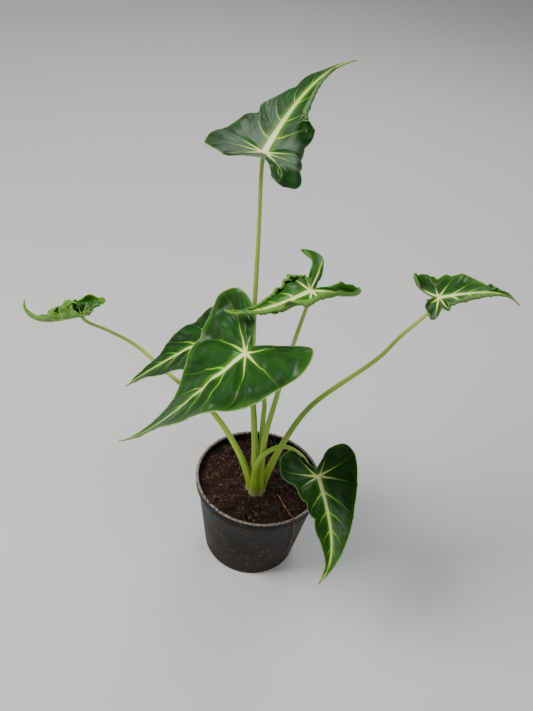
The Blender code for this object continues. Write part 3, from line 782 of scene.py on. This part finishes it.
def blade_mesh(name, leaf):
    """The closed blade: the upper face, the edge and the lower face, as one wrapped grid."""
    left_points, left_up, left_facts = half_blade(leaf, 1)
    right_points, right_up, right_facts = half_blade(leaf, -1)

    def whole(a, b):
        return np.concatenate([a[::-1], b[1:]])

    def ridge(distance, width):
        return np.exp(-(distance / width) ** 2)

    points, up = whole(left_points, right_points), whole(left_up, right_up)
    facts = {key: whole(left_facts[key], right_facts[key]) for key in left_facts}
    lane, pitch, mid, along, heart, rim = (
        facts[key] for key in ("lane", "pitch", "mid", "along", "heart", "rim"))
    normal = -np.cross(np.gradient(points, axis=0), np.gradient(points, axis=1))
    size = np.linalg.norm(normal, axis=-1, keepdims=True)
    normal = np.where(size > 1e-13, normal / np.maximum(size, 1e-13), up)
    normal[:, 0] = up[:, 0] / np.linalg.norm(up[:, 0], axis=-1, keepdims=True)
    # The relief, in millimetres: flesh puffs up between the side veins and puckers, less so near
    # the main vein, the edge and the tip, and the veins lie in grooves.
    gap = np.abs((lane + 0.5) % 1 - 0.5) * pitch
    clear_of_rib = 1 - ridge(mid, RIB_CLEARANCE)
    puff = np.sin(pi * (lane % 1)) ** 2 * clear_of_rib * np.clip(heart / 12, 0, 1) ** 2
    puff = puff * np.clip(rim / 6, 0, 1) * np.clip(pitch / 17, 0, 1) ** 1.5 * leaf["puff"]
    bumps = [[noise.noise(Vector((a * 2.6, b * 4.2, leaf["long"]))) for a, b in zip(*row)]
             for row in zip(lane, facts["out"])]
    pucker = np.array(bumps) * leaf["pucker"] * clear_of_rib * np.clip(rim / 2, 0, 1)
    pucker = pucker * np.clip(pitch / 20, 0.1, 1) ** 2
    broad = np.clip((rim + mid) / (0.42 * leaf["wide"][0]), 0, 1) ** 2
    broad = broad * np.clip((0.50 - along) / 0.25, 0.08, 1)
    puff = (puff + pucker * np.clip(heart / 14, 0, 1)) * broad
    vein_here = clear_of_rib * np.clip(heart / 6, 0, 1)
    groove = ridge(gap, GROOVE_WIDTH) * vein_here * facts["vigour"] * GROOVE_DEPTH
    channel = ridge(mid, CHANNEL_WIDTH) * CHANNEL_DEPTH * np.clip(1 - along, 0, 1)
    upper = points + normal * ((puff - groove - channel) / 1000)[..., None]
    # Below, the main vein and the side veins stand out.
    rib = RIB_HEIGHT * ridge(mid, RIB_WIDTH) * np.clip(1.05 - along, 0, 1)
    back_vein = BACK_VEIN_HEIGHT * ridge(gap, BACK_VEIN_WIDTH) * vein_here
    thick = BLADE_THICKNESS + (rib + back_vein) / 1000
    thick[:, -1] = BLADE_THICKNESS * EDGE_THINNING
    thick[0] = thick[-1] = 0
    lower = upper - normal * thick[..., None]
    grid = np.concatenate([upper, lower[:, ::-1]], axis=1) @ turn_matrix(leaf).T
    grid = grid + np.array(leaf["at"]) / 1000
    facts["dry"] = np.clip((along - leaf["dry"]) / 0.06, 0, 1)
    extras = [(key, np.concatenate([value, value[:, ::-1]], axis=1))
              for key, value in facts.items()]
    under = np.zeros(grid.shape[:2])
    under[:, COLUMNS:] = 1
    extras += [("under", under), ("fresh", under * 0 + leaf["fresh"])]
    rows, columns = grid.shape[0] - 1, grid.shape[1] - 1
    return wrapped_grid(name, rows, columns, lambda i, j: grid[i, j], extras)


LEAF_DEEP, LEAF_GREEN = (0.003, 0.024, 0.002), (0.009, 0.060, 0.003)
LEAF_OUTER = (0.0025, 0.020, 0.004)
LEAF_YOUNG = (0.045, 0.190, 0.006)
LEAF_HAIR_LINE = (0.028, 0.120, 0.010)
LEAF_DOME_HIGHLIGHT = (0.014, 0.092, 0.004)
BESIDE_VEIN, BESIDE_RIB = (0.036, 0.170, 0.006), (0.12, 0.36, 0.020)
VEIN_OUTER, VEIN_HEART = (0.30, 0.62, 0.030), (0.92, 0.98, 0.34)
RIB_CREAM, RIB_TIP = (0.96, 1.0, 0.46), (0.48, 0.74, 0.09)
EDGE_YOUNG, EDGE_PALE = (0.110, 0.320, 0.014), (0.30, 0.47, 0.13)
BACK_DARK, BACK_LIGHT = (0.085, 0.175, 0.050), (0.125, 0.235, 0.070)
BACK_YOUNG_DARK, BACK_YOUNG_LIGHT = (0.060, 0.190, 0.012), (0.190, 0.420, 0.040)
BACK_VEIN = (0.34, 0.46, 0.17)
DRY_DARK, DRY_LIGHT = (0.22, 0.070, 0.018), (0.52, 0.22, 0.055)
SHEEN_GREEN = (0.6, 0.9, 0.6)
velvet = Finish("velvet_leaf")
out, along, rim, fresh = (velvet.read(label) for label in ("out", "along", "rim", "fresh"))
clouds = velvet.grain(60.0, 5.0, 0.6)
cloudy = velvet.fade(clouds, 0.3, 0.7)

# The side veins: thick where they leave the main vein, thin and fading towards the edge.
wobble = velvet.math("SUBTRACT", velvet.grain(45.0, 3.0), 0.5)
lane = velvet.plus(velvet.read("lane"), velvet.times(wobble, 0.22))
in_lane = velvet.math("FRACT", velvet.plus(lane, 0.5))
off_vein = velvet.math("ABSOLUTE", velvet.math("SUBTRACT", in_lane, 0.5))
inward = velvet.math("SUBTRACT", 1.0, out, clamp=True)
vein_taper = velvet.math("MULTIPLY_ADD", velvet.math("POWER", inward, 3.0), 1.35, 0.24)
vein_width = velvet.times(velvet.read("vigour"), vein_taper)
from_vein = velvet.math("DIVIDE", velvet.times(off_vein, velvet.read("pitch")), vein_width)
vein_glow = velvet.fade(from_vein, 0.5, 7.0, 1.0, 0.0)
vein = velvet.fade(from_vein, 0.35, 1.35, 1.0, 0.0)
vein = velvet.times(vein, velvet.fade(out, 0.25, 0.88, 1.0, 0.10))

# The main vein, and the cream star where the veins meet.
rib_width = velvet.math("MAXIMUM", velvet.math("MULTIPLY_ADD", along, -2.1, 2.5), 0.40)
from_rib = velvet.math("DIVIDE", velvet.read("mid"), rib_width)
rib_glow = velvet.fade(from_rib, 0.7, 3.2, 1.0, 0.0)
rib = velvet.fade(from_rib, 0.55, 1.1, 1.0, 0.0)
star = velvet.fade(velvet.read("heart"), 2.0, 26.0, 1.0, 0.0)

# The upper face: deep green, with a painted highlight on the domes of flesh between the veins, and
# lighter beside each vein.
hair_place = velvet.spot(velvet.times(lane, 26.0), velvet.times(out, 4.0))
hair_lines = velvet.grain(1.0, 2.0, 0.5, vector=hair_place)
quilt_place = velvet.spot(velvet.times(lane, 5.0), velvet.times(out, 3.0))
quilt = velvet.grain(1.0, 1.0, 0.5, vector=quilt_place)
green = velvet.blend(cloudy, LEAF_DEEP, LEAF_GREEN)
green = velvet.blend(velvet.fade(out, 0.45, 1.0, 0.0, 0.55), green, LEAF_OUTER)
green = velvet.blend(fresh, green, LEAF_YOUNG)
green = velvet.blend(velvet.fade(hair_lines, 0.45, 0.75, 0.0, 0.25), green, LEAF_HAIR_LINE)
# Painted highlight: the domes between the side veins are made lighter green in the colour itself,
# as if lit, to deepen the quilted relief.
painted_dome_highlight = velvet.times(velvet.fade(off_vein, 0.10, 0.34), velvet.fade(quilt, 0.38, 0.62))
green = velvet.blend(velvet.times(painted_dome_highlight, 0.75), green, LEAF_DOME_HIGHLIGHT)
vein_glow = velvet.times(vein_glow, velvet.math("MULTIPLY_ADD", out, -0.45, 0.55))
green = velvet.blend(vein_glow, green, BESIDE_VEIN)
green = velvet.blend(velvet.times(rib_glow, 0.55), green, BESIDE_RIB)
green = velvet.blend(vein, green, velvet.blend(star, VEIN_OUTER, VEIN_HEART))
green = velvet.blend(rib, green, velvet.blend(velvet.fade(along, 0.0, 0.85), RIB_CREAM, RIB_TIP))
young_edge = velvet.times(fresh, velvet.fade(rim, 1.0, 7.0, 1.6, 0.0))
green = velvet.blend(young_edge, green, EDGE_YOUNG)
green = velvet.blend(velvet.fade(rim, 0.35, 0.9, 0.8, 0.0), green, EDGE_PALE)

# The lower face, the brown tips, and how the skin shines.
back = velvet.blend(cloudy, BACK_DARK, BACK_LIGHT)
back_young = velvet.blend(clouds, BACK_YOUNG_DARK, BACK_YOUNG_LIGHT)
back = velvet.blend(velvet.times(fresh, 1.8), back, back_young)
back = velvet.blend(velvet.math("MAXIMUM", vein, rib), back, BACK_VEIN)
under = velvet.fade(velvet.read("under"), 0.3, 0.7)
shade = velvet.blend(under, green, back)
shade = velvet.blend(velvet.read("dry"), shade, velvet.blend(clouds, DRY_DARK, DRY_LIGHT))
gloss = velvet.math("MULTIPLY_ADD", clouds, 0.18, 0.30)
velvet.give(Base_Color=shade, Roughness=velvet.plus(gloss, velvet.times(under, 0.15)),
            Specular_IOR_Level=0.27, Sheen_Weight=0.02, Sheen_Roughness=0.4,
            Sheen_Tint=SHEEN_GREEN)
pores = velvet.times(velvet.grain(1600.0, 2.0, 0.5), 0.15)
ridges = velvet.plus(velvet.times(hair_lines, 0.7), pores)
ridges = velvet.plus(ridges, velvet.times(quilt, velvet.times(out, 5.0)))
velvet.bump(velvet.math("SUBTRACT", ridges, velvet.times(vein, 0.8)), 0.00035, 0.7)
for name, leaf in LEAVES.items():
    blade = blade_mesh("blade_" + name, leaf)
    blade.data.materials.append(velvet.material)
    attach(blade, "root")
    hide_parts("leaf_" + name)

# The stalks
# Round fleshy stalks, yellow-green with fine darker streaks. Each widens into a pale sheath at its
# foot, where it clasps its neighbours, and broadens again where it runs into its blade.
STALK_RINGS = 110
STALK_SIDES = 22
STALK_SPACING = 0.0056
STALK_THIN = 0.0014
STALK_TAPER = 0.0018
SHEATH_SWELL, SHEATH_LENGTH = 0.0006, 0.016
HEAD_SWELL, HEAD_LENGTH = 0.0005, 0.004
SHEATH_OVAL, OVAL_LENGTH = 0.20, 0.045
RIDGE_HEIGHT = 0.03
CHANNEL_SHARE, CHANNEL_ANGLE, CHANNEL_START = 0.14, 0.35, 0.03
INTO_BLADE = 0.0012
BEND_BELOW_BLADE = 0.007
RISE_FROM_STEM = 0.008
STEM_TOP = 0.0885
STALK_LOW, STALK_MIDDLE, STALK_HIGH = (0.36, 0.50, 0.050), (0.30, 0.47, 0.030), (0.42, 0.60, 0.090)
STALK_STREAK, STALK_BLOTCH = (0.130, 0.260, 0.018), (0.36, 0.46, 0.20)
STALK_FOOT = (0.33, 0.30, 0.15)
skin = Finish("stalk_skin")
around_x, around_y = (skin.times(skin.read(label), 4.0) for label in ("round_x", "round_y"))
far_up = skin.read("far")
streaks = skin.grain(1.6, 4.0, 0.65, vector=skin.spot(around_x, around_y, skin.times(far_up, 22.0)))
blotches = skin.grain(120.0, 4.0, 0.6)
share = skin.read("share")
shade = skin.blend(skin.fade(share, 0.0, 0.35), STALK_LOW, STALK_MIDDLE)
shade = skin.blend(skin.fade(share, 0.35, 1.0), shade, STALK_HIGH)
shade = skin.blend(skin.fade(streaks, 0.48, 0.66, 0.0, 0.65), shade, STALK_STREAK)
shade = skin.blend(skin.fade(blotches, 0.55, 0.75, 0.0, 0.3), shade, STALK_BLOTCH)
shade = skin.blend(skin.fade(far_up, 0.0, 0.014, 0.75, 0.0), shade, STALK_FOOT)
skin.give(Base_Color=shade, Roughness=skin.fade(streaks, 0.3, 0.7, 0.38, 0.52))
skin.bump(streaks, 0.0004, 0.6)


def stalk_line(leaf, up):
    """The stalk's way from inside the stem to inside its blade's main vein, evenly spaced."""
    foot = np.array([PLANT_X, PLANT_Y, STEM_TOP])
    if leaf["foot"] is not None:
        a = radians(leaf["foot"])
        foot = foot + (STALK_SPACING * cos(a), STALK_SPACING * sin(a), 0)
    end = np.array(leaf["at"]) / 1000 - up * INTO_BLADE
    way = [np.array(p) / 1000 for p in leaf["way"]]
    ahead = (end - way[-1]) / np.linalg.norm(end - way[-1])
    bend = end - (up + ahead) / np.linalg.norm(up + ahead) * BEND_BELOW_BLADE
    rough = smooth_line([foot, foot + (0, 0, RISE_FROM_STEM)] + way + [bend, end], 400)
    far = np.concatenate([[0], np.cumsum(np.linalg.norm(np.diff(rough, axis=0), axis=1))])
    even = np.linspace(0, far[-1], STALK_RINGS)
    return np.stack([np.interp(even, far, rough[:, k]) for k in range(3)], 1), even


turned = np.linspace(0, tau, STALK_SIDES + 1)
for name, leaf in LEAVES.items():
    line, far = stalk_line(leaf, turn_matrix(leaf)[:, 2])
    sides, ups = carried_frames(line)
    radius = STALK_THIN + STALK_TAPER * (1 - far / far[-1]) ** 1.2
    radius = radius + SHEATH_SWELL * np.exp(-far / SHEATH_LENGTH)
    radius = radius + HEAD_SWELL * np.exp(-(far[-1] - far) / HEAD_LENGTH)
    # A clasping sheath is oval, and above it the stalk has a shallow channel down one side.
    sheath = SHEATH_OVAL * np.exp(-(far / OVAL_LENGTH) ** 2)
    ring = 1 + sheath[:, None] * np.cos(2 * turned) + RIDGE_HEIGHT * np.cos(5 * turned)[None]
    channel = CHANNEL_SHARE * np.exp(-((turned - pi / 2) / CHANNEL_ANGLE) ** 2)[None]
    r = radius[:, None] * ring * (1 - channel * (1 - np.exp(-far / CHANNEL_START))[:, None])
    tube = (line[:, None] + (r * np.cos(turned))[..., None] * sides[:, None]
            + (r * np.sin(turned))[..., None] * ups[:, None])
    foot, head = (np.repeat(line[end][None, None], STALK_SIDES + 1, 1) for end in (0, -1))
    tube = np.concatenate([foot, tube, head])
    ring_far = np.concatenate([far[:1], far, far[-1:]])[:, None]
    facts = {"far": ring_far, "share": ring_far / far[-1],
             "round_x": np.cos(turned)[None], "round_y": np.sin(turned)[None]}
    extras = [(key, np.broadcast_to(value, tube.shape[:2])) for key, value in facts.items()]
    stalk = wrapped_grid("leafstalk_" + name, STALK_RINGS + 1, STALK_SIDES,
                         lambda i, j: tube[i, j], extras)
    stalk.data.materials.append(skin.material)
    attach(stalk, "root")
    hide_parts("stalk_" + name)

# The short stem
# The plant's stem is a squat neck, just showing above the soil, ringed by the scars of old stalks.
NECK_RINGS = 34
NECK_STEPS = 64
NECK_FOOT = 0.0705
NECK_TOP = 0.0915
NECK_RADIUS = 0.0078
NECK_SHOULDER = 0.8
NECK_DOME = 0.2
NECK_GREEN, SCAR_BROWN = (0.30, 0.33, 0.14), (0.15, 0.13, 0.055)
NECK_PATCH = (0.36, 0.30, 0.17)


def neck_point(i, j):
    """A point of the neck: up its side, then over its domed top."""
    turned, share = tau * i / NECK_STEPS, j / NECK_RINGS
    if j == 0:
        return (PLANT_X, PLANT_Y, NECK_FOOT)
    over = max(0, share - NECK_SHOULDER) / NECK_DOME
    r = NECK_RADIUS * (min(1, 0.6 + share) if over == 0 else max(0, 1 - over ** 2) ** 0.5)
    r *= 1 + 0.045 * cos(6 * turned + 0.4) + 0.03 * sin(j * 1.7)
    z = NECK_FOOT + (NECK_TOP - NECK_FOOT) * min(1, (share * 1.25) ** 0.9) + 0.0015 * over
    return (PLANT_X + r * cos(turned), PLANT_Y + r * sin(turned), z)


neck = wrapped_grid("plant_neck", NECK_STEPS, NECK_RINGS, neck_point)
stem_skin = Finish("scarred_stem")
scars = stem_skin.grain(300.0, 4.0, 0.6, (0.3, 0.3, 2.5))
patchy = stem_skin.fade(stem_skin.grain(180.0, 5.0, 0.6), 0.5, 0.7)
shade = stem_skin.blend(stem_skin.fade(scars, 0.4, 0.65), NECK_GREEN, SCAR_BROWN)
stem_skin.give(Base_Color=stem_skin.blend(patchy, shade, NECK_PATCH), Roughness=0.6)
stem_skin.bump(scars, 0.0005, 0.7)
neck.data.materials.append(stem_skin.material)
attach(neck, "root")
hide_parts("stem")
